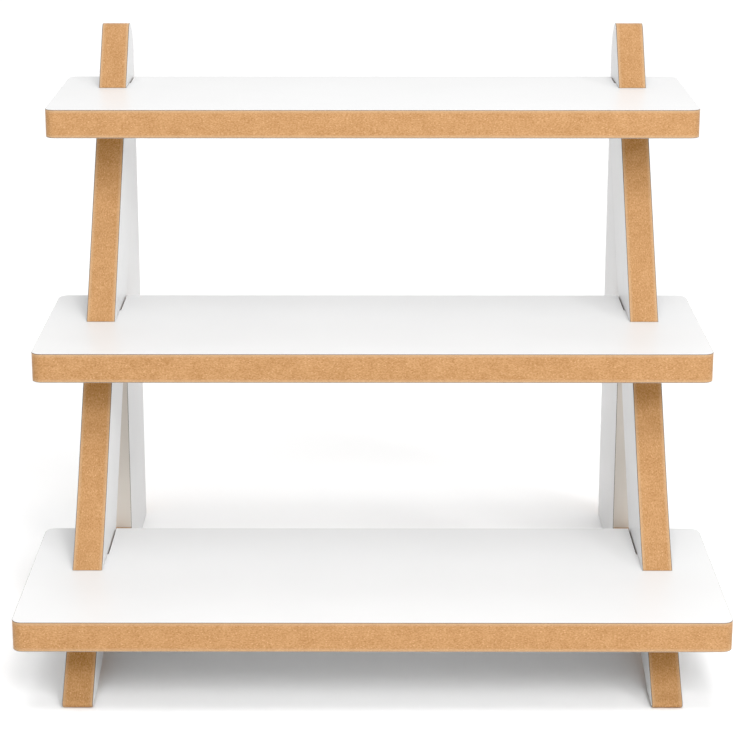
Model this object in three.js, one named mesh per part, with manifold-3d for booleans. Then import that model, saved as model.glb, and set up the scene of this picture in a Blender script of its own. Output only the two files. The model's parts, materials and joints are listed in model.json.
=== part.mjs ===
// A three-step plant ladder stand: three shelves of faced board, each slid into two upright side frames
// of the same board, so that every shelf stands further forward and lower than the one above it.
//
// Sizes are millimetres. +Z is up, the front is -Y, and the origin is on the floor, under the middle of
// the whole stand's outline. Inside a side frame, "along" runs from the rear edge of the frame, which is
// zero, forward to negative values, and "height" is measured from the floor.

import * as THREE from "three";
import { mergeVertices } from "three/addons/utils/BufferGeometryUtils.js";
import Module from "manifold-3d";

const wasm = await Module();
wasm.setup();

// ---- Driving sizes ----

const CORE = 25;                  // thickness of the fibreboard core, shelves and frames alike
const LAMINATE = 0.7;             // white facing on both sides of the core
const BOARD = CORE + 2 * LAMINATE;
const ARRIS = 0.5;                // sanded edge along both faces of every board

const SHELF_WIDTH = 600;
const SHELF_CORNER_RADIUS = 9;

const TOP_SHELF_HEIGHT = 462.2;   // floor to the shelf's upper face
const TOP_SHELF_DEPTH = 193;
const TOP_SHELF_OVERHANG = 122;   // shelf ahead of the leg's front edge, at the shelf's upper face
const TOP_NOTCH_DEPTH = 31;       // how far the shelf is let into the leg, from the leg's front edge

const MIDDLE_SHELF_HEIGHT = 271.4;
const MIDDLE_SHELF_DEPTH = 209;
const MIDDLE_SHELF_OVERHANG = 109;
const MIDDLE_NOTCH_DEPTH = 43.5;

const BOTTOM_SHELF_HEIGHT = 88;
const BOTTOM_SHELF_DEPTH = 229;
const BOTTOM_SHELF_OVERHANG = 119.5;
const BOTTOM_NOTCH_DEPTH = 42.5;

const FRAME_SPACING = 500;        // between the middles of the two side frames
const FRAME_HEIGHT = 521;         // to the unrounded front corner of the head
const HEAD_DEPTH = 32;            // front to rear edge at the top of the head
const FRONT_LEAN = THREE.MathUtils.degToRad(39.5);  // straight part of the leg's front edge, from upright
const TOE_KICK = 37.7;            // how far the toe sweeps ahead of that straight line
const SWEEP_HEIGHT = 160;         // where the sweep towards the toe starts
const LEG_FOOT_DEPTH = 144;       // front leg, toe to its rear edge, at the floor
const LEG_LEAN = THREE.MathUtils.degToRad(40.6);    // rear edge of the front leg, from upright
const TOE_RADIUS = 3.5;
const HEAD_FRONT_RADIUS = 12;
const HEAD_REAR_RADIUS = 36;
const HEAD_FALL = THREE.MathUtils.degToRad(30);     // fall of the head's top towards the back

const REAR_LEG_DEPTH = 147;
const HEEL_LENGTH = 42;           // stretch of the rear leg that stands on the floor
const HEEL_RADIUS = 4;
const TOE_LENGTH = 30;            // stretch of the front leg that stands on the floor, from its toe corner
const RELIEF_HEIGHT = 14;         // the frame clears the floor by this much between toe and heel
const RELIEF_RAMP = 62;           // length of the rise from the floor to the relief
const RELIEF_RADIUS = 30;
const RAIL_HEIGHT = 24;
const EDGE_BAND = 1;              // thickness of the band on the rear leg's edge in the window

const SLOT_PLAY = 0.8;            // each side of the board that a shelf slot straddles
const SEAT_GAP = 0.3;             // under and over a shelf in its notch
const SLOT_END_GAP = 1;           // between the end of a shelf's slot and the end of the leg's notch
const SEAM_GAP = 0.2;             // glue line between two frame boards, and under the edge band

const DOWEL_RADIUS = 4;
const DOWEL_LENGTH = 40;
const DOWEL_CHAMFER = 1;
const DOWEL_PLAY = 0.15;          // bore radius over dowel radius
const BORE_SPARE = 1;             // bore beyond each end of the dowel
const SEAM_DOWELS = [35, 103, 171];    // along the seam, from the top of the window

const ARC_STEPS = 8;              // straight steps in each rounded corner
const EDGE_STEP = 12;             // longest straight step along the swept edge
const DOWEL_SIDES = 20;

// ---- Finishes ----

const FACE_COLOUR = 0xf4f3f0;     // white laminate facing
const BAND_COLOUR = 0xefebe4;     // white edge band
const EDGE_COLOUR = 0xd3a06a;     // raw fibreboard edge
const DOWEL_COLOUR = 0xd9b98a;    // beech

const FACE_AXIS_SHARE = 0.9;      // a triangle turned this nearly to the thickness is on a facing

// ---- Lines of the side frame ----

/** Place of the front leg's front edge at a height: straight, then swept forward towards the toe. */
function frontEdge(height) {
  const straight = -HEAD_DEPTH - (FRAME_HEIGHT - height) * Math.tan(FRONT_LEAN);
  const share = Math.max(0, 1 - height / SWEEP_HEIGHT);
  return straight - TOE_KICK * share ** 2;
}

const FOOT_REACH = -frontEdge(0);     // rear edge to the unrounded toe

/** Place of the straight seam behind the front leg at a height. */
function seam(height) {
  return LEG_FOOT_DEPTH - FOOT_REACH + height * Math.tan(LEG_LEAN);
}

/** Height of that seam at a place along the frame. */
function seamHeight(along) {
  return (along - LEG_FOOT_DEPTH + FOOT_REACH) / Math.tan(LEG_LEAN);
}

const SEAM_SHIFT = SEAM_GAP / Math.cos(LEG_LEAN);    // the glue line, measured along the floor

/** A shelf's faces, its front and back, and the place where its slots meet the legs' notches. */
function shelfPlace(top, depth, overhang, notchDepth) {
  const front = frontEdge(top) - overhang;
  return { top, front, back: front + depth, meet: frontEdge(top) + notchDepth };
}

const TOP_SHELF = shelfPlace(TOP_SHELF_HEIGHT, TOP_SHELF_DEPTH, TOP_SHELF_OVERHANG, TOP_NOTCH_DEPTH);
const MIDDLE_SHELF = shelfPlace(
  MIDDLE_SHELF_HEIGHT, MIDDLE_SHELF_DEPTH, MIDDLE_SHELF_OVERHANG, MIDDLE_NOTCH_DEPTH,
);
const BOTTOM_SHELF = shelfPlace(
  BOTTOM_SHELF_HEIGHT, BOTTOM_SHELF_DEPTH, BOTTOM_SHELF_OVERHANG, BOTTOM_NOTCH_DEPTH,
);

// ---- Outlines ----

/** One corner of an outline, rounded where it has a radius. */
function corner(x, y, radius = 0) {
  return { point: new THREE.Vector2(x, y), radius };
}

/** The points of a corner: itself, or an arc that meets both its sides. */
function cornerPoints(before, { point, radius }, after) {
  if (radius === 0) {
    return [point];
  }
  const toBefore = before.clone().sub(point).normalize();
  const toAfter = after.clone().sub(point).normalize();
  const halfAngle = Math.acos(toBefore.dot(toAfter)) / 2;
  const bisector = toBefore.clone().add(toAfter).normalize();
  const centre = point.clone().addScaledVector(bisector, radius / Math.sin(halfAngle));
  const start = point.clone().addScaledVector(toBefore, radius / Math.tan(halfAngle));
  const turn = Math.sign(toAfter.cross(toBefore)) * (Math.PI - 2 * halfAngle);
  return Array.from({ length: ARC_STEPS + 1 }, (_, step) =>
    start.clone().rotateAround(centre, turn * step / ARC_STEPS));
}

/** A closed shape through the corners, in order. */
function outline(corners) {
  const points = corners.flatMap((here, index) => {
    const before = corners.at(index - 1).point;
    const after = corners[(index + 1) % corners.length].point;
    return cornerPoints(before, here, after);
  });
  return new THREE.Shape(points);
}

/** Corners along the front edge from one height to another, without the one at the first height. */
function frontRun(from, to) {
  const bend = Math.max(0, Math.min(to, SWEEP_HEIGHT) - from);
  const steps = Math.ceil(bend / EDGE_STEP);
  const heights = Array.from({ length: steps }, (_, index) => from + bend * (index + 1) / steps);
  if (to > SWEEP_HEIGHT) {
    heights.push(to);
  }
  return heights.map((height) => corner(frontEdge(height), height));
}

// ---- Solids ----

/** A board of the given outline, its thickness centred on the outline's plane. */
function boardGeometry(shape) {
  const geometry = new THREE.ExtrudeGeometry(shape, {
    depth: BOARD - 2 * ARRIS,
    bevelThickness: ARRIS,
    bevelSize: ARRIS,
    bevelOffset: -ARRIS,
    bevelSegments: 1,
  });
  return geometry.translate(0, 0, ARRIS - BOARD / 2);
}

/** A closed solid made from a closed mesh. */
function solidOf(geometry) {
  const bare = geometry.clone();
  bare.deleteAttribute("normal");
  bare.deleteAttribute("uv");
  const merged = mergeVertices(bare);
  return new wasm.Manifold(new wasm.Mesh({
    numProp: 3,
    vertProperties: merged.attributes.position.array,
    triVerts: Uint32Array.from(merged.index.array),
  }));
}

/** The mesh geometry of a solid, flat shaded. */
function geometryOf(solid) {
  const { vertProperties, triVerts } = solid.getMesh();
  const indexed = new THREE.BufferGeometry();
  indexed.setAttribute("position", new THREE.BufferAttribute(vertProperties, 3));
  indexed.setIndex(new THREE.BufferAttribute(triVerts, 1));
  const flat = indexed.toNonIndexed();
  flat.computeVertexNormals();
  return flat;
}

/** Takes every cutter's shape out of a geometry. */
function drilled(geometry, cutters) {
  const cut = cutters.reduce((solid, cutter) => solid.subtract(solidOf(cutter)), solidOf(geometry));
  return geometryOf(cut);
}

/** A round pin about the Y axis, with both ends chamfered. */
function pinGeometry(radius, length, chamfer) {
  const end = length / 2;
  const profile = [[0, -end], [radius - chamfer, -end], [radius, chamfer - end],
    [radius, end - chamfer], [radius - chamfer, end], [0, end]];
  return new THREE.LatheGeometry(profile.map(([x, y]) => new THREE.Vector2(x, y)), DOWEL_SIDES);
}

/** Gives the triangles on the facings one material and the triangles on the edges another. */
function dressedBoard(name, geometry) {
  const flat = geometry.index ? geometry.toNonIndexed() : geometry;
  flat.clearGroups();
  const normals = flat.attributes.normal;
  for (let first = 0; first < normals.count; first += 3) {
    const onFacing = Math.abs(normals.getZ(first)) > FACE_AXIS_SHARE;
    flat.addGroup(first, 3, onFacing ? 0 : 1);
  }
  const facing = new THREE.MeshStandardMaterial({ color: FACE_COLOUR, roughness: 0.42, metalness: 0 });
  const edge = new THREE.MeshStandardMaterial({ color: EDGE_COLOUR, roughness: 0.85, metalness: 0 });
  const board = new THREE.Mesh(flat, [facing, edge]);
  board.name = name;
  return board;
}

// ---- Dowels: where they lie in a side frame, and the bores for them ----

/** Where each dowel of a side frame lies: its name, its middle, and the turn of its axis from upright. */
function dowelPlaces() {
  const windowTop = seamHeight(-REAR_LEG_DEPTH);
  const upSeam = new THREE.Vector2(Math.sin(LEG_LEAN), Math.cos(LEG_LEAN));
  const seamStart = new THREE.Vector2(-REAR_LEG_DEPTH, windowTop);
  const seamPlaces = SEAM_DOWELS.map((distance, index) => ({
    name: `seam_dowel_${index + 1}`,
    middle: seamStart.clone().addScaledVector(upSeam, distance),
    turn: Math.PI / 2 - LEG_LEAN,
  }));
  const railMiddle = RELIEF_HEIGHT + RAIL_HEIGHT / 2;
  const railPlaces = [
    { name: "rail_front_dowel", middle: new THREE.Vector2(seam(railMiddle), railMiddle), turn: Math.PI / 2 },
    { name: "rail_rear_dowel", middle: new THREE.Vector2(-REAR_LEG_DEPTH, railMiddle), turn: Math.PI / 2 },
  ];
  return [...seamPlaces, ...railPlaces];
}

const DOWEL_PLACES = dowelPlaces();

/** One pin, placed as a dowel lies. */
function placedPin({ middle, turn }, radius, length, chamfer) {
  return pinGeometry(radius, length, chamfer).rotateZ(turn).translate(middle.x, middle.y, 0);
}

/** The bores for the dowels whose names start with one of the given words. */
function bores(...words) {
  return DOWEL_PLACES
    .filter(({ name }) => words.some((word) => name.startsWith(word)))
    .map((place) => placedPin(
      place, DOWEL_RADIUS + DOWEL_PLAY, DOWEL_LENGTH + 2 * BORE_SPARE, DOWEL_CHAMFER,
    ));
}

// ---- Pieces of a side frame ----

/** The notch that lets a shelf into the front leg, from the leg's front edge and back out to it. */
function notchCorners({ top, meet }) {
  const low = top - BOARD - SEAT_GAP;
  const high = top + SEAT_GAP;
  const end = meet + SLOT_END_GAP / 2;
  return [corner(end, low), corner(end, high), corner(frontEdge(high), high)];
}

/** The front leg: three notches in its front edge, rounded head, swept toe that the leg stands on. */
function frontLeg(name) {
  const corners = [corner(frontEdge(0), 0, TOE_RADIUS)];
  let height = 0;
  for (const shelf of [BOTTOM_SHELF, MIDDLE_SHELF, TOP_SHELF]) {
    corners.push(...frontRun(height, shelf.top - BOARD - SEAT_GAP));
    corners.push(...notchCorners(shelf));
    height = shelf.top + SEAT_GAP;
  }
  const headRear = FRAME_HEIGHT - HEAD_DEPTH * Math.tan(HEAD_FALL);
  corners.push(
    corner(-HEAD_DEPTH, FRAME_HEIGHT, HEAD_FRONT_RADIUS),
    corner(0, headRear, HEAD_REAR_RADIUS),
    corner(0, seamHeight(0)),
    corner(seam(RELIEF_HEIGHT), RELIEF_HEIGHT),
    corner(TOE_LENGTH + RELIEF_RAMP - FOOT_REACH, RELIEF_HEIGHT, RELIEF_RADIUS),
    corner(TOE_LENGTH - FOOT_REACH, 0, RELIEF_RADIUS),
  );
  const board = boardGeometry(outline(corners));
  return dressedBoard(name, drilled(board, bores("seam_dowel", "rail_front")));
}

/** The upright rear leg, mitred to the seam at its top and standing on its heel. */
function rearLeg(name) {
  const bandedEdge = -REAR_LEG_DEPTH + EDGE_BAND + SEAM_GAP;
  const corners = [
    corner(bandedEdge, RELIEF_HEIGHT),
    corner(bandedEdge, seamHeight(bandedEdge - SEAM_SHIFT)),
    corner(0, seamHeight(-SEAM_SHIFT)),
    corner(0, 0, HEEL_RADIUS),
    corner(-HEEL_LENGTH, 0, RELIEF_RADIUS),
    corner(-HEEL_LENGTH - RELIEF_RAMP, RELIEF_HEIGHT, RELIEF_RADIUS),
  ];
  const board = boardGeometry(outline(corners));
  return dressedBoard(name, drilled(board, bores("seam_dowel", "rail_rear")));
}

/** The white band on the rear leg's edge in the window, trimmed back to the board's sanded corners. */
function edgeBand(name) {
  const front = -REAR_LEG_DEPTH;
  const rear = front + EDGE_BAND;
  const shape = outline([
    corner(front, RELIEF_HEIGHT),
    corner(rear, RELIEF_HEIGHT),
    corner(rear, seamHeight(rear - SEAM_SHIFT)),
    corner(front, seamHeight(front - SEAM_SHIFT)),
  ]);
  const width = BOARD - 2 * ARRIS;
  const strip = new THREE.ExtrudeGeometry(shape, { depth: width, bevelEnabled: false });
  const material = new THREE.MeshStandardMaterial({ color: BAND_COLOUR, roughness: 0.5, metalness: 0 });
  const band = new THREE.Mesh(drilled(strip.translate(0, 0, -width / 2), bores("rail_rear")), material);
  band.name = name;
  return band;
}

/** The low rail that ties the rear leg to the foot of the front leg. */
function footRail(name) {
  const top = RELIEF_HEIGHT + RAIL_HEIGHT;
  const rearEnd = -REAR_LEG_DEPTH - SEAM_GAP;
  const board = boardGeometry(outline([
    corner(seam(RELIEF_HEIGHT) + SEAM_SHIFT, RELIEF_HEIGHT),
    corner(rearEnd, RELIEF_HEIGHT),
    corner(rearEnd, top),
    corner(seam(top) + SEAM_SHIFT, top),
  ]));
  return dressedBoard(name, drilled(board, bores("rail_front", "rail_rear")));
}

/** One beech dowel, half in each of the two boards that it joins. */
function dowel(name, place) {
  const material = new THREE.MeshStandardMaterial({ color: DOWEL_COLOUR, roughness: 0.7, metalness: 0 });
  const mesh = new THREE.Mesh(placedPin(place, DOWEL_RADIUS, DOWEL_LENGTH, DOWEL_CHAMFER), material);
  mesh.name = name;
  return mesh;
}

/** A whole side frame, drawn in its own plane and stood upright at its place across the stand. */
function sideFrame(side, across) {
  const frame = new THREE.Group();
  frame.add(
    frontLeg(`front_leg_${side}`),
    rearLeg(`rear_leg_${side}`),
    edgeBand(`edge_band_${side}`),
    footRail(`foot_rail_${side}`),
  );
  for (const place of DOWEL_PLACES) {
    frame.add(dowel(`${place.name}_${side}`, place));
  }
  const along = new THREE.Vector3(0, 1, 0);
  const up = new THREE.Vector3(0, 0, 1);
  const thickness = new THREE.Vector3(1, 0, 0);
  frame.setRotationFromMatrix(new THREE.Matrix4().makeBasis(along, up, thickness));
  frame.position.x = across;
  return frame;
}

// ---- Shelves ----

/** The corners of one slot, cut in from the shelf's back edge, around the board of a side frame. */
function slotCorners(across, back, end) {
  const half = BOARD / 2 + SLOT_PLAY;
  return [
    corner(across + half, back), corner(across + half, end),
    corner(across - half, end), corner(across - half, back),
  ];
}

/** One shelf: a board with rounded corners and a slot for each side frame. */
function shelf(name, { top, front, back, meet }) {
  const half = SHELF_WIDTH / 2;
  const slotEnd = meet - SLOT_END_GAP / 2;
  const board = boardGeometry(outline([
    corner(-half, front, SHELF_CORNER_RADIUS),
    corner(half, front, SHELF_CORNER_RADIUS),
    corner(half, back, SHELF_CORNER_RADIUS),
    ...slotCorners(FRAME_SPACING / 2, back, slotEnd),
    ...slotCorners(-FRAME_SPACING / 2, back, slotEnd),
    corner(-half, back, SHELF_CORNER_RADIUS),
  ]));
  const mesh = dressedBoard(name, board);
  mesh.position.z = top - BOARD / 2;
  return mesh;
}

// ---- The stand ----

/** All pieces, moved so that the origin lies under the middle of the stand's outline. */
function plantLadderStand() {
  const stand = new THREE.Group();
  stand.add(
    shelf("top_shelf", TOP_SHELF),
    shelf("middle_shelf", MIDDLE_SHELF),
    shelf("bottom_shelf", BOTTOM_SHELF),
    sideFrame("left", -FRAME_SPACING / 2),
    sideFrame("right", FRAME_SPACING / 2),
  );
  const frontmost = Math.min(BOTTOM_SHELF.front, -FOOT_REACH);
  stand.position.y = -frontmost / 2;
  return stand;
}

export default plantLadderStand();
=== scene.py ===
"""Looks of a three-step plant ladder stand.

The stand is made of fibreboard faced with white laminate, with raw, sanded edges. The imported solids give
every board its shape and place. This script welds a copy of each one, rounds the corners of the front legs'
toes, cuts the edges where the layers of the laminate end, dresses faces, layers and core in their own
finishes, and sets up a pale studio round the stand.
"""

import json
import logging
import math
from collections.abc import Callable
from dataclasses import dataclass, field
from enum import Enum
from typing import Any

import bpy
import numpy as np
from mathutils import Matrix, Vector

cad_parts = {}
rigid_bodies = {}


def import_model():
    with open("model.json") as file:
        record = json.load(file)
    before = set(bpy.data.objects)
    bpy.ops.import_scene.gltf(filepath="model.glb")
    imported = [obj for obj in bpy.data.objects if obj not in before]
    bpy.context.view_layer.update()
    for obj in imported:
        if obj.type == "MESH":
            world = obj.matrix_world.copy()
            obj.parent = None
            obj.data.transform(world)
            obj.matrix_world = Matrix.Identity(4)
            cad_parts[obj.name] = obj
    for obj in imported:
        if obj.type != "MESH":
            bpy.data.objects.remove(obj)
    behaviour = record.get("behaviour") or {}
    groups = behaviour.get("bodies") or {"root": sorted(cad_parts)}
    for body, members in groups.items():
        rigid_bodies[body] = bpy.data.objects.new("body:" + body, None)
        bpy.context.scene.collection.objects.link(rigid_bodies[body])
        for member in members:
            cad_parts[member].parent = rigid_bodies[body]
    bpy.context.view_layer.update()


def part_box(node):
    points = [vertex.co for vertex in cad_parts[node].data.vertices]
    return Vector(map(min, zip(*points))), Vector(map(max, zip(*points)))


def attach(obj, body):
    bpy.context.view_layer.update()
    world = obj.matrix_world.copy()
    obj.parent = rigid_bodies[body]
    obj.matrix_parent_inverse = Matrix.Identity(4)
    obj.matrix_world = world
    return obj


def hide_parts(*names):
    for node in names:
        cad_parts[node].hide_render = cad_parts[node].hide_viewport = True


log = logging.getLogger("ladder_stand")

MM = 0.001
BODY = "root"               # the stand has no joints, so every piece rides on this one body
PLACE = "board_place"       # mesh attribute: place in the board's own frame, thickness along Z

TOP_SHEET = 0.22 * MM       # the laminate's white top sheet, drawn thick enough to show
LAMINATE = 0.7 * MM         # the whole laminate, top sheet and kraft backing

WELD_DISTANCE = 0.005 * MM
FLAT_ANGLE = math.radians(0.4)      # faces turned less than this to each other are one flat face
SMOOTH_ANGLE = math.radians(50)     # edges under this angle are shaded as rounded

# A Mix node has a set of sockets for each kind of value, all under the same names, so its factor and its
# colours are picked by number.
MIX_FACTOR = 0
MIX_A = 6
MIX_B = 7
MIX_RESULT = 2


class Axis(Enum):
    """The way a board's thickness runs, with the number of that coordinate."""

    X = 0
    Z = 2


class Side(Enum):
    """The two side frames, with the last word of their pieces' names."""

    LEFT = "left"
    RIGHT = "right"


class Layer(Enum):
    """A board's layers from its middle outwards, with the number of their material slot."""

    CORE = 0
    KRAFT = 1
    TOP_SHEET = 2


def linear(code: str) -> tuple[float, float, float, float]:
    """Turns an sRGB hex colour into Blender's linear colour.

    Args:
        code: The colour as "#rrggbb".

    Returns:
        Red, green, blue and an alpha of one.
    """
    parts = [int(code[i:i + 2], 16) / 255 for i in (1, 3, 5)]
    red, green, blue = (c / 12.92 if c <= 0.04045 else ((c + 0.055) / 1.055) ** 2.4 for c in parts)
    return red, green, blue, 1.0


def per_metre(grain_mm: float) -> float:
    """The texture scale, in repeats per metre, that gives a grain of that many millimetres."""
    return 1 / (grain_mm * MM)


def add_node(
    tree: bpy.types.NodeTree,
    kind: str,
    settings: dict[str, Any] | None = None,
    inputs: dict[str | int, Any] | None = None,
) -> bpy.types.Node:
    """Adds a node, sets its properties, and fills or links its inputs.

    Args:
        tree: The node tree that the node joins.
        kind: The node's type, such as "ShaderNodeTexNoise".
        settings: Properties of the node by name.
        inputs: Values, or output sockets to link from, by the input's name or number.

    Returns:
        The new node.
    """
    made = tree.nodes.new(kind)
    for name, value in (settings or {}).items():
        setattr(made, name, value)
    for name, value in (inputs or {}).items():
        if isinstance(value, bpy.types.NodeSocket):
            tree.links.new(value, made.inputs[name])
        else:
            made.inputs[name].default_value = value
    return made


def new_material(name: str) -> tuple[bpy.types.Material, bpy.types.NodeTree, bpy.types.Node]:
    """Makes a node material with one Principled shader.

    Args:
        name: The material's name.

    Returns:
        The material, its node tree and its Principled shader node.
    """
    material = bpy.data.materials.new(name)
    material.use_nodes = True
    tree = material.node_tree
    tree.nodes.clear()
    shader = add_node(tree, "ShaderNodeBsdfPrincipled")
    add_node(tree, "ShaderNodeOutputMaterial", inputs={"Surface": shader.outputs["BSDF"]})
    return material, tree, shader


# ---- Finishes ----


@dataclass(frozen=True)
class WhiteLaminate:
    """High-pressure laminate with a white top sheet: hard and satin, faintly dimpled by the press plate."""

    colour: str = "#dedede"
    shade: str = "#dadada"
    cloud_mm: float = 90.0          # broad clouds between the two whites, barely there
    dimple_mm: float = 1.6          # drawn about twice as coarse as the real plate's, so that it shows
    dimple_depth_mm: float = 0.012
    roughness: float = 0.36

    def material(self) -> bpy.types.Material:
        """Builds the finish.

        Returns:
            The new material.
        """
        material, tree, shader = new_material("white_laminate")
        place = add_node(tree, "ShaderNodeAttribute", {"attribute_name": PLACE}).outputs["Vector"]
        cloud = add_node(tree, "ShaderNodeTexNoise", inputs={
            "Vector": place, "Scale": per_metre(self.cloud_mm), "Detail": 2.0})
        tone = add_node(tree, "ShaderNodeMix", {"data_type": "RGBA"}, {
            MIX_FACTOR: cloud.outputs["Fac"], MIX_A: linear(self.colour), MIX_B: linear(self.shade)})
        dimple = add_node(tree, "ShaderNodeTexNoise", inputs={
            "Vector": place, "Scale": per_metre(self.dimple_mm), "Detail": 1.0})
        bump = add_node(tree, "ShaderNodeBump", inputs={
            "Height": dimple.outputs["Fac"], "Distance": self.dimple_depth_mm * MM})
        tree.links.new(tone.outputs[MIX_RESULT], shader.inputs["Base Color"])
        tree.links.new(bump.outputs["Normal"], shader.inputs["Normal"])
        shader.inputs["Roughness"].default_value = self.roughness
        return material


@dataclass(frozen=True)
class KraftBacking:
    """Resin-soaked kraft paper under the laminate's top sheet: a thin greyish brown line along every edge."""

    light: str = "#766a5e"
    dark: str = "#5c5147"
    layer_mm: float = 0.15          # the separate sheets of paper, which show only from close by
    stretch: float = 0.02           # the sheets run on along the board
    roughness: float = 0.55

    def material(self) -> bpy.types.Material:
        """Builds the finish.

        Returns:
            The new material.
        """
        material, tree, shader = new_material("laminate_kraft_backing")
        place = add_node(tree, "ShaderNodeAttribute", {"attribute_name": PLACE}).outputs["Vector"]
        along = add_node(tree, "ShaderNodeMapping", inputs={
            "Vector": place, "Scale": (self.stretch, self.stretch, 1.0)}).outputs["Vector"]
        sheets = add_node(tree, "ShaderNodeTexNoise", inputs={
            "Vector": along, "Scale": per_metre(self.layer_mm), "Detail": 2.0})
        tone = add_node(tree, "ShaderNodeMix", {"data_type": "RGBA"}, {
            MIX_FACTOR: sheets.outputs["Fac"], MIX_A: linear(self.light), MIX_B: linear(self.dark)})
        tree.links.new(tone.outputs[MIX_RESULT], shader.inputs["Base Color"])
        shader.inputs["Roughness"].default_value = self.roughness
        return material


@dataclass(frozen=True)
class RawBoardEdge:
    """Sawn and sanded edge of medium-density fibreboard: dull tan fibre, faintly speckled and fuzzy."""

    light: str = "#c2986e"
    dark: str = "#a47a50"
    fibre_mm: float = 1.7           # bundles of fibre, drawn coarser than they are, so that they show
    fibre_flatness: float = 1.7     # fibres lie flat in the board, so the grain is finer across it
    blotch_mm: float = 14.0
    blotch_strength: float = 0.22   # how much the blotches add to the grain, from the darkest to the palest
    grain_dark: float = 0.34        # grain up to this is drawn all dark
    grain_light: float = 0.66       # grain from this on is drawn all light

    fleck: str = "#8a633e"
    pale_fleck: str = "#dcb48c"
    fleck_mm: float = 3.2           # from one fleck to the next
    fleck_reach: float = 0.26       # where a fleck fades out, as a share of fleck_mm
    fleck_core: float = 0.05        # where it starts to fade
    fleck_strength: float = 0.7     # how far a fleck's middle hides the tan
    pale_share: float = 0.45        # the rest of the flecks are dark bark

    skin: str = "#c2a484"
    skin_mm: float = 3.0            # the board is pressed denser and paler just under each face
    skin_share: float = 0.7         # how far the skin's colour hides the tan right at the face

    relief_mm: float = 0.12         # fibre that the sanding leaves raised
    roughness: float = 0.85
    fuzz: float = 0.7               # fibre ends that stand up after sanding catch light at a low angle
    fuzz_roughness: float = 0.3

    def grain(
        self, tree: bpy.types.NodeTree, place: bpy.types.NodeSocket, pressed: bpy.types.NodeSocket
    ) -> bpy.types.NodeSocket:
        """Draws the pressed fibre with broad blotches over it.

        Args:
            tree: The material's node tree.
            place: Place in the board's own frame.
            pressed: The same place, flattened as the fibres are.

        Returns:
            The grain's value, about a half on average.
        """
        fibre = add_node(tree, "ShaderNodeTexNoise", inputs={
            "Vector": pressed, "Scale": per_metre(self.fibre_mm), "Detail": 5.0, "Roughness": 0.65})
        blotch = add_node(tree, "ShaderNodeTexNoise", inputs={
            "Vector": place, "Scale": per_metre(self.blotch_mm), "Detail": 2.0})
        mottle = add_node(tree, "ShaderNodeMath", {"operation": "MULTIPLY_ADD"}, {
            0: blotch.outputs["Fac"], 1: self.blotch_strength, 2: -self.blotch_strength / 2})
        return add_node(tree, "ShaderNodeMath", {"operation": "ADD"}, {
            0: fibre.outputs["Fac"], 1: mottle.outputs["Value"]}).outputs["Value"]

    def tan(self, tree: bpy.types.NodeTree, grain: bpy.types.NodeSocket) -> bpy.types.NodeSocket:
        """Colours the grain.

        Args:
            tree: The material's node tree.
            grain: The grain's value.

        Returns:
            The tan of the fibre.
        """
        contrast = add_node(tree, "ShaderNodeMapRange", inputs={
            "Value": grain, "From Min": self.grain_dark, "From Max": self.grain_light})
        return add_node(tree, "ShaderNodeMix", {"data_type": "RGBA"}, {
            MIX_FACTOR: contrast.outputs["Result"], MIX_A: linear(self.dark), MIX_B: linear(self.light),
        }).outputs[MIX_RESULT]

    def add_flecks(
        self, tree: bpy.types.NodeTree, pressed: bpy.types.NodeSocket, under: bpy.types.NodeSocket
    ) -> bpy.types.NodeSocket:
        """Scatters dark and pale flecks over a colour.

        Args:
            tree: The material's node tree.
            pressed: Place in the board's own frame, flattened as the fibres are.
            under: The colour between the flecks.

        Returns:
            The colour with its flecks.
        """
        cells = add_node(tree, "ShaderNodeTexVoronoi", inputs={
            "Vector": pressed, "Scale": per_metre(self.fleck_mm), "Randomness": 1.0})
        spot = add_node(tree, "ShaderNodeMapRange", inputs={
            "Value": cells.outputs["Distance"], "From Min": self.fleck_reach, "From Max": self.fleck_core,
            "To Min": 0.0, "To Max": self.fleck_strength})
        lot = add_node(tree, "ShaderNodeSeparateColor", inputs={"Color": cells.outputs["Color"]})
        is_pale = add_node(tree, "ShaderNodeMath", {"operation": "LESS_THAN"}, {
            0: lot.outputs["Red"], 1: self.pale_share})
        fleck = add_node(tree, "ShaderNodeMix", {"data_type": "RGBA"}, {
            MIX_FACTOR: is_pale.outputs["Value"], MIX_A: linear(self.fleck), MIX_B: linear(self.pale_fleck)})
        return add_node(tree, "ShaderNodeMix", {"data_type": "RGBA"}, {
            MIX_FACTOR: spot.outputs["Result"], MIX_A: under, MIX_B: fleck.outputs[MIX_RESULT],
        }).outputs[MIX_RESULT]

    def add_skin(
        self, tree: bpy.types.NodeTree, place: bpy.types.NodeSocket, under: bpy.types.NodeSocket
    ) -> bpy.types.NodeSocket:
        """Pales a colour towards both faces of the board.

        Args:
            tree: The material's node tree.
            place: Place in the board's own frame.
            under: The colour in the middle of the board.

        Returns:
            The colour with its paler skins.
        """
        low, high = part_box("top_shelf")
        half_core = (high.z - low.z) / 2 - LAMINATE         # the same in every board
        depth = add_node(tree, "ShaderNodeSeparateXYZ", inputs={"Vector": place})
        from_middle = add_node(tree, "ShaderNodeMath", {"operation": "ABSOLUTE"}, {0: depth.outputs["Z"]})
        rim = add_node(tree, "ShaderNodeMapRange", inputs={
            "Value": from_middle.outputs["Value"], "From Min": half_core - self.skin_mm * MM,
            "From Max": half_core, "To Max": self.skin_share})
        return add_node(tree, "ShaderNodeMix", {"data_type": "RGBA"}, {
            MIX_FACTOR: rim.outputs["Result"], MIX_A: under, MIX_B: linear(self.skin),
        }).outputs[MIX_RESULT]

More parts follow.
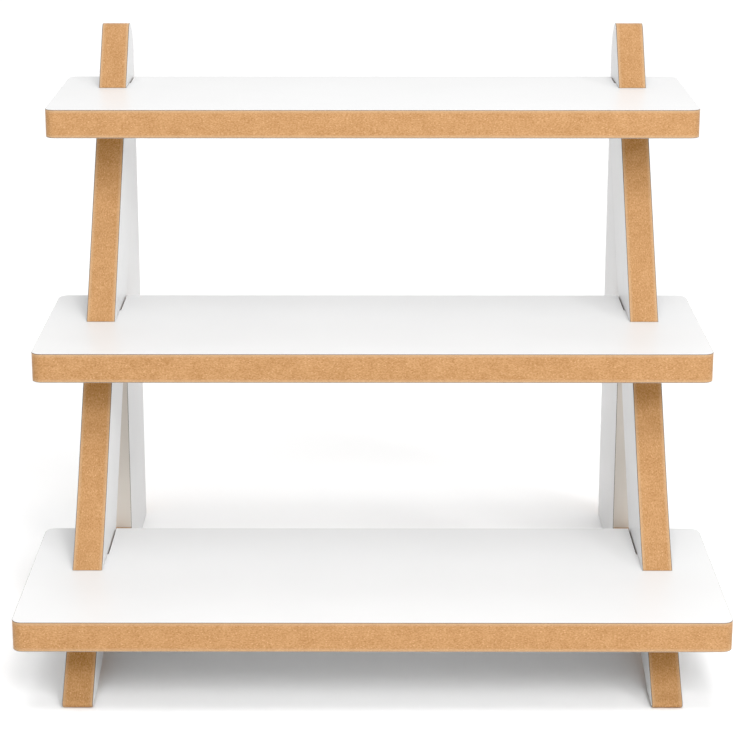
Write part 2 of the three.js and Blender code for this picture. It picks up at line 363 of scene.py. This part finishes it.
    def material(self) -> bpy.types.Material:
        """Builds the finish.

        Returns:
            The new material.
        """
        material, tree, shader = new_material("raw_fibreboard_edge")
        place = add_node(tree, "ShaderNodeAttribute", {"attribute_name": PLACE}).outputs["Vector"]
        pressed = add_node(tree, "ShaderNodeMapping", inputs={
            "Vector": place, "Scale": (1.0, 1.0, self.fibre_flatness)}).outputs["Vector"]
        grain = self.grain(tree, place, pressed)
        flecked = self.add_flecks(tree, pressed, self.tan(tree, grain))
        bump = add_node(tree, "ShaderNodeBump", inputs={"Height": grain, "Distance": self.relief_mm * MM})
        tree.links.new(self.add_skin(tree, place, flecked), shader.inputs["Base Color"])
        tree.links.new(bump.outputs["Normal"], shader.inputs["Normal"])
        shader.inputs["Roughness"].default_value = self.roughness
        shader.inputs["Sheen Weight"].default_value = self.fuzz
        shader.inputs["Sheen Roughness"].default_value = self.fuzz_roughness
        return material


@dataclass(frozen=True)
class EdgeBand:
    """White PVC edge band, glued on and scraped flush: matt, smooth and a little warmer than the laminate."""

    colour: str = "#d8d5cf"
    roughness: float = 0.5
    drag_mm: float = 0.8            # faint lines that the trimming scraper leaves along the band
    drag_depth_mm: float = 0.02
    stretch: float = 0.02           # the lines run up the band

    def material(self) -> bpy.types.Material:
        """Builds the finish.

        Returns:
            The new material.
        """
        material, tree, shader = new_material("white_pvc_edge_band")
        place = add_node(tree, "ShaderNodeTexCoord").outputs["Object"]
        along = add_node(tree, "ShaderNodeMapping", inputs={
            "Vector": place, "Scale": (1.0, 1.0, self.stretch)}).outputs["Vector"]
        drag = add_node(tree, "ShaderNodeTexNoise", inputs={
            "Vector": along, "Scale": per_metre(self.drag_mm), "Detail": 2.0})
        bump = add_node(tree, "ShaderNodeBump", inputs={
            "Height": drag.outputs["Fac"], "Distance": self.drag_depth_mm * MM})
        tree.links.new(bump.outputs["Normal"], shader.inputs["Normal"])
        shader.inputs["Base Color"].default_value = linear(self.colour)
        shader.inputs["Roughness"].default_value = self.roughness
        return material


@dataclass(frozen=True)
class TurnedBeech:
    """Turned beech dowel: pale, close-grained and dry, with short dark ray flecks."""

    light: str = "#dcbd90"
    dark: str = "#c49d6c"
    fleck_mm: float = 0.9
    roughness: float = 0.6

    def material(self) -> bpy.types.Material:
        """Builds the finish.

        Returns:
            The new material.
        """
        material, tree, shader = new_material("turned_beech")
        place = add_node(tree, "ShaderNodeTexCoord").outputs["Object"]
        grain = add_node(tree, "ShaderNodeTexNoise", inputs={
            "Vector": place, "Scale": per_metre(self.fleck_mm), "Detail": 3.0})
        tone = add_node(tree, "ShaderNodeMix", {"data_type": "RGBA"}, {
            MIX_FACTOR: grain.outputs["Fac"], MIX_A: linear(self.light), MIX_B: linear(self.dark)})
        tree.links.new(tone.outputs[MIX_RESULT], shader.inputs["Base Color"])
        shader.inputs["Roughness"].default_value = self.roughness
        return material


@dataclass
class Finishes:
    """Every finish of the stand, each made once."""

    laminate: bpy.types.Material = field(default_factory=WhiteLaminate().material)
    kraft: bpy.types.Material = field(default_factory=KraftBacking().material)
    core: bpy.types.Material = field(default_factory=RawBoardEdge().material)
    band: bpy.types.Material = field(default_factory=EdgeBand().material)
    beech: bpy.types.Material = field(default_factory=TurnedBeech().material)


# ---- Modelling steps ----


def select_only(piece: bpy.types.Object) -> None:
    """Selects one object, makes it the active one and sets edit mode to work on faces.

    Args:
        piece: The object, in object mode.
    """
    bpy.context.tool_settings.mesh_select_mode = (False, False, True)
    bpy.ops.object.select_all(action="DESELECT")
    piece.select_set(True)
    bpy.context.view_layer.objects.active = piece


def cut_round(piece: bpy.types.Object, point: Vector, normal: Vector) -> None:
    """Cuts a line all the way round a piece, where a plane crosses it.

    Args:
        piece: The object, in object mode.
        point: A point of the plane.
        normal: The way that the plane faces.
    """
    select_only(piece)
    bpy.ops.object.mode_set(mode="EDIT")
    bpy.ops.mesh.select_all(action="SELECT")
    bpy.ops.mesh.bisect(plane_co=point, plane_no=normal)
    bpy.ops.object.mode_set(mode="OBJECT")


def assign_faces(
    piece: bpy.types.Object, layer: Layer, test: Callable[[bpy.types.MeshPolygon], bool]
) -> None:
    """Gives the material of one layer to the faces that pass a test.

    Args:
        piece: The object, selected, in object mode.
        layer: The layer whose material the faces get.
        test: Says of a face whether it gets the material.
    """
    for face in piece.data.polygons:
        face.select = test(face)
    piece.active_material_index = layer.value
    bpy.ops.object.mode_set(mode="EDIT")
    bpy.ops.object.material_slot_assign()
    bpy.ops.mesh.select_all(action="DESELECT")
    bpy.ops.object.mode_set(mode="OBJECT")


@dataclass
class Board:
    """One laminated board of the stand.

    Attributes:
        node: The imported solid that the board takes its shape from.
        across: The way the board's thickness runs.
        top_sheet: Thickness of the laminate's white top sheet.
        laminate: Thickness of the whole laminate, top sheet and kraft backing.
        middle: The middle of the board's box, from the frame.
        half: Half the board's whole thickness, from the frame.
    """

    node: str
    across: Axis
    top_sheet: float = TOP_SHEET
    laminate: float = LAMINATE
    middle: Vector = field(init=False)
    half: float = field(init=False)

    def __post_init__(self) -> None:
        """Reads the board's middle and half thickness from the frame."""
        low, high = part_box(self.node)
        self.middle = (low + high) / 2
        self.half = (high - low)[self.across.value] / 2

    def depth_of(self, place: Vector) -> float:
        """How far a point lies from the board's middle plane."""
        return abs(place[self.across.value] - self.middle[self.across.value])

    def weld(self) -> bpy.types.Object:
        """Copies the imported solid, joins its loose triangles and clears the lines across its flat faces.

        Returns:
            The copy, selected, in object mode.
        """
        piece = bpy.data.objects.new(f"{self.node}_board", bpy.data.objects[self.node].data.copy())
        bpy.context.scene.collection.objects.link(piece)
        piece.data.materials.clear()
        select_only(piece)
        bpy.ops.mesh.customdata_custom_splitnormals_clear()     # they would shade some sharp edges as round
        bpy.ops.object.mode_set(mode="EDIT")
        bpy.ops.mesh.select_all(action="SELECT")
        bpy.ops.mesh.remove_doubles(threshold=WELD_DISTANCE)
        bpy.ops.mesh.dissolve_limited(angle_limit=FLAT_ANGLE)
        bpy.ops.object.mode_set(mode="OBJECT")
        return piece

    def sand(self, piece: bpy.types.Object) -> None:
        """Leaves a plain board as it was packed."""

    def cut_layers(self, piece: bpy.types.Object) -> None:
        """Cuts the edges of the board where the top sheet and the kraft backing end, below each face.

        Args:
            piece: The welded board.
        """
        normal = Vector((0, 0, 0))
        normal[self.across.value] = 1
        for side in (-1, 1):
            for depth in (self.top_sheet, self.laminate):
                cut_round(piece, self.middle + normal * side * (self.half - depth), normal)

    def write_places(self, piece: bpy.types.Object) -> None:
        """Stores each vertex's place in the board's own frame, with the thickness along Z.

        Args:
            piece: The board with its layers cut.
        """
        places = np.empty(len(piece.data.vertices) * 3)
        piece.data.vertices.foreach_get("co", places)
        places = places.reshape(-1, 3) - np.array(self.middle)
        if self.across is Axis.X:
            places = places[:, [1, 2, 0]]
        places[:, :2] += np.array(self.middle)[:2] + self.middle.z      # so that no two boards look alike
        attribute = piece.data.attributes.new(PLACE, "FLOAT_VECTOR", "POINT")
        attribute.data.foreach_set("vector", places.ravel())

    def dress(self, piece: bpy.types.Object, finishes: Finishes) -> None:
        """Puts raw board on the edges, the kraft line inside them and the white sheet on both faces.

        Args:
            piece: The board with its layers cut, selected.
            finishes: The stand's finishes.
        """
        for finish in (finishes.core, finishes.kraft, finishes.laminate):
            piece.data.materials.append(finish)
        assign_faces(piece, Layer.KRAFT, lambda face: self.depth_of(face.center) > self.half - self.laminate)
        assign_faces(
            piece, Layer.TOP_SHEET, lambda face: self.depth_of(face.center) > self.half - self.top_sheet)

    def soften(self, piece: bpy.types.Object) -> None:
        """Shades the small sanded flats and the rounded corners smoothly, and keeps the flat faces flat.

        Args:
            piece: The dressed board.
        """
        select_only(piece)
        bpy.ops.object.shade_smooth_by_angle(angle=SMOOTH_ANGLE)
        weights = piece.modifiers.new("flat_faces", "WEIGHTED_NORMAL")
        weights.keep_sharp = True
        bpy.ops.object.modifier_apply(modifier=weights.name)

    def build(self, finishes: Finishes) -> bpy.types.Object:
        """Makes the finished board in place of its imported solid.

        Args:
            finishes: The stand's finishes.

        Returns:
            The board.
        """
        piece = self.weld()
        self.sand(piece)
        self.cut_layers(piece)
        self.write_places(piece)
        self.dress(piece, finishes)
        self.soften(piece)
        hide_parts(self.node)
        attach(piece, BODY)
        return piece


@dataclass
class FrontLeg(Board):
    """A front leg, whose toe is sanded round across its width, down through the laminate.

    Attributes:
        toe_radius: Radius that the toe's two lower corners are sanded to.
        toe_steps: Flat steps that make up each round corner.
    """

    toe_radius: float = 2.5 * MM
    toe_steps: int = 5

    def half_width_at(self, height: float) -> float:
        """Half the toe's width at a height above the floor that its round corners reach."""
        below = self.toe_radius - max(height, 0)
        return self.half - self.toe_radius + math.sqrt(self.toe_radius ** 2 - below ** 2)

    def sand(self, piece: bpy.types.Object) -> None:
        """Cuts the toe into steps and draws each one in towards the board's middle.

        Args:
            piece: The welded board.
        """
        for step in range(1, self.toe_steps + 1):
            height = self.toe_radius * (1 - math.cos(math.pi / 2 * step / self.toe_steps))
            cut_round(piece, Vector((0, 0, height)), Vector((0, 0, 1)))
        for vertex in piece.data.vertices:
            if vertex.co.z < self.toe_radius:
                share = self.half_width_at(vertex.co.z) / self.half
                vertex.co.x = self.middle.x + (vertex.co.x - self.middle.x) * share


# ---- Sub-assemblies ----


@dataclass
class Shelves:
    """The three shelves, from the top one down."""

    names: tuple[str, ...] = ("top_shelf", "middle_shelf", "bottom_shelf")

    def build(self, finishes: Finishes) -> list[bpy.types.Object]:
        """Makes every shelf and returns them."""
        return [Board(name, Axis.Z).build(finishes) for name in self.names]


@dataclass
class SideFrame:
    """One side frame: a swept front leg, an upright rear leg with its edge band, a foot rail and the dowels.

    Attributes:
        side: The side of the stand that it is on.
        plain_boards: The boards apart from the front leg.
        dowels: The dowels that join the boards.
    """

    side: Side
    plain_boards: tuple[str, ...] = ("rear_leg", "foot_rail")
    dowels: tuple[str, ...] = (
        "seam_dowel_1", "seam_dowel_2", "seam_dowel_3", "rail_front_dowel", "rail_rear_dowel")

    def node(self, name: str) -> str:
        """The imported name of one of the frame's pieces."""
        return f"{name}_{self.side.value}"

    def finish(self, name: str, material: bpy.types.Material) -> bpy.types.Object:
        """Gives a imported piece, whose shape is right as it is, its real finish.

        Args:
            name: The piece's name without its side.
            material: The finish.

        Returns:
            The piece.
        """
        piece = bpy.data.objects[self.node(name)]
        piece.data.materials.clear()
        piece.data.materials.append(material)
        return piece

    def build(self, finishes: Finishes) -> list[bpy.types.Object]:
        """Makes the frame's boards and finishes its band and dowels.

        Args:
            finishes: The stand's finishes.

        Returns:
            Every piece of the frame.
        """
        band = self.finish("edge_band", finishes.band)
        dowels = [self.finish(name, finishes.beech) for name in self.dowels]
        front_leg = FrontLeg(self.node("front_leg"), Axis.X).build(finishes)
        boards = [Board(self.node(name), Axis.X).build(finishes) for name in self.plain_boards]
        return [band, *dowels, front_leg, *boards]


# ---- Studio ----


@dataclass(frozen=True)
class Lamp:
    """A wide lamp, far off.

    Attributes:
        azimuth: Degrees from straight in front of the stand, round to its right.
        elevation: Degrees above the floor.
        strength: Light that it throws on a face turned to it, as a share of full white.
        spread: Degrees that it takes up in the sky, which sets how soft its shadows are.
    """

    azimuth: float
    elevation: float
    strength: float
    spread: float = 30.0

    def build(self) -> None:
        """Hangs the lamp, aimed at the stand."""
        turn, rise = math.radians(self.azimuth), math.radians(self.elevation)
        towards = Vector((math.sin(turn) * math.cos(rise), -math.cos(turn) * math.cos(rise), math.sin(rise)))
        bpy.ops.object.light_add(type="SUN", rotation=towards.to_track_quat("Z", "Y").to_euler())
        lamp = bpy.context.object
        lamp.name = f"lamp_{self.azimuth:.0f}_{self.elevation:.0f}"
        lamp.data.angle = math.radians(self.spread)
        lamp.data.energy = self.strength * math.pi      # a sun of strength pi gives full white


@dataclass(frozen=True)
class SoftBox:
    """A round soft box close to the stand, above and in front of it.

    Attributes:
        side: Metres from the middle, to the stand's right.
        front: Metres in front of the stand's middle.
        height: Metres above the floor.
        power: Its power in watts.
        width: Its diameter in metres.
        aim: The point that it is turned to.
    """

    side: float
    front: float
    height: float
    power: float
    width: float = 0.4
    aim: tuple[float, float, float] = (0.0, -0.05, 0.25)

    def build(self) -> None:
        """Hangs the soft box, out of sight of the camera, and aims it."""
        place = Vector((self.side, -self.front, self.height))
        turn = (Vector(self.aim) - place).to_track_quat("-Z", "Y").to_euler()
        bpy.ops.object.light_add(type="AREA", location=place, rotation=turn)
        box = bpy.context.object
        box.name = f"soft_box_{self.front:.1f}_{self.height:.1f}"
        box.data.shape = "DISK"
        box.data.size = self.width
        box.data.energy = self.power
        box.visible_camera = False


@dataclass(frozen=True)
class Studio:
    """A pale floor, soft light that comes mostly from the front and above, and the camera.

    Lengths are in metres and the camera's angles in radians.
    """

    floor_size: float = 300.0           # reaches almost to the horizon
    floor_colour: str = "#fdfdfd"
    sky_colour: str = "#ffffff"
    sky_strength: float = 0.735
    lamps: tuple[Lamp, ...] = (
        Lamp(azimuth=40, elevation=30, strength=0.157, spread=14.0),
        Lamp(azimuth=0, elevation=85, strength=0.175),
        Lamp(azimuth=180, elevation=50, strength=0.185),
    )
    soft_boxes: tuple[SoftBox, ...] = (
        SoftBox(side=0.05, front=0.75, height=1.45, power=5.6),
        SoftBox(side=0.45, front=1.6, height=1.45, power=6.8),
        SoftBox(side=0.45, front=1.6, height=1.05, power=5.0),
    )
    black: float = 0.05                 # how far the black and white points are raised
    focal_px: float = 2362.0            # measured from the photograph, whose sides are photo_px long
    photo_px: float = 736.0
    camera_distance: float = 2.3378     # in front of the rear edge of the frames
    camera_height: float = 0.8324
    camera_side: float = -0.0007
    camera_pitch: float = 0.2805        # below level
    camera_turn: float = 0.0016         # to the left

    def build_floor(self) -> None:
        """Lays the floor under the stand."""
        bpy.ops.object.select_all(action="DESELECT")
        bpy.ops.mesh.primitive_plane_add(size=self.floor_size)
        floor = bpy.context.object
        floor.name = "studio_floor"
        material, _, shader = new_material("matt_white_floor")
        shader.inputs["Base Color"].default_value = linear(self.floor_colour)
        shader.inputs["Roughness"].default_value = 1.0
        shader.inputs["Specular IOR Level"].default_value = 0.0
        floor.data.materials.append(material)

    def build_light(self) -> None:
        """Sets the even light of the sky and hangs the lamps and the soft boxes."""
        world = bpy.data.worlds.new("studio_sky")
        bpy.context.scene.world = world
        world.use_nodes = True
        background = world.node_tree.nodes["Background"]
        background.inputs["Color"].default_value = linear(self.sky_colour)
        background.inputs["Strength"].default_value = self.sky_strength
        for light in (*self.lamps, *self.soft_boxes):
            light.build()

    def build_camera(self) -> None:
        """Places the camera at the photograph's viewing angle."""
        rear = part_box("rear_leg_left")[1].y
        bpy.ops.object.camera_add(
            location=(self.camera_side, rear - self.camera_distance, self.camera_height),
            rotation=(math.pi / 2 - self.camera_pitch, 0, self.camera_turn))
        camera = bpy.context.object
        camera.name = "studio_camera"
        camera.data.lens = self.focal_px / self.photo_px * camera.data.sensor_width
        bpy.context.scene.camera = camera

    def set_tones(self) -> None:
        """Sets plain tones, with the black and white points moved to give the photograph's contrast."""
        view = bpy.context.scene.view_settings
        view.view_transform = "Standard"
        view.use_curve_mapping = True
        view.curve_mapping.black_level = (self.black,) * 3
        view.curve_mapping.white_level = (1 + self.black,) * 3
        view.curve_mapping.update()

    def build(self) -> None:
        """Sets up the whole studio."""
        self.build_floor()
        self.build_light()
        self.build_camera()
        self.set_tones()


def main() -> None:
    """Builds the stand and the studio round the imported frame."""
    logging.basicConfig(level=logging.INFO, format="%(message)s")
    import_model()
    finishes = Finishes()
    for assembly in (Shelves(), SideFrame(Side.LEFT), SideFrame(Side.RIGHT)):
        for piece in assembly.build(finishes):
            log.info("%s: %d faces", piece.name, len(piece.data.polygons))
    Studio().build()


if __name__ == "__main__":
    main()
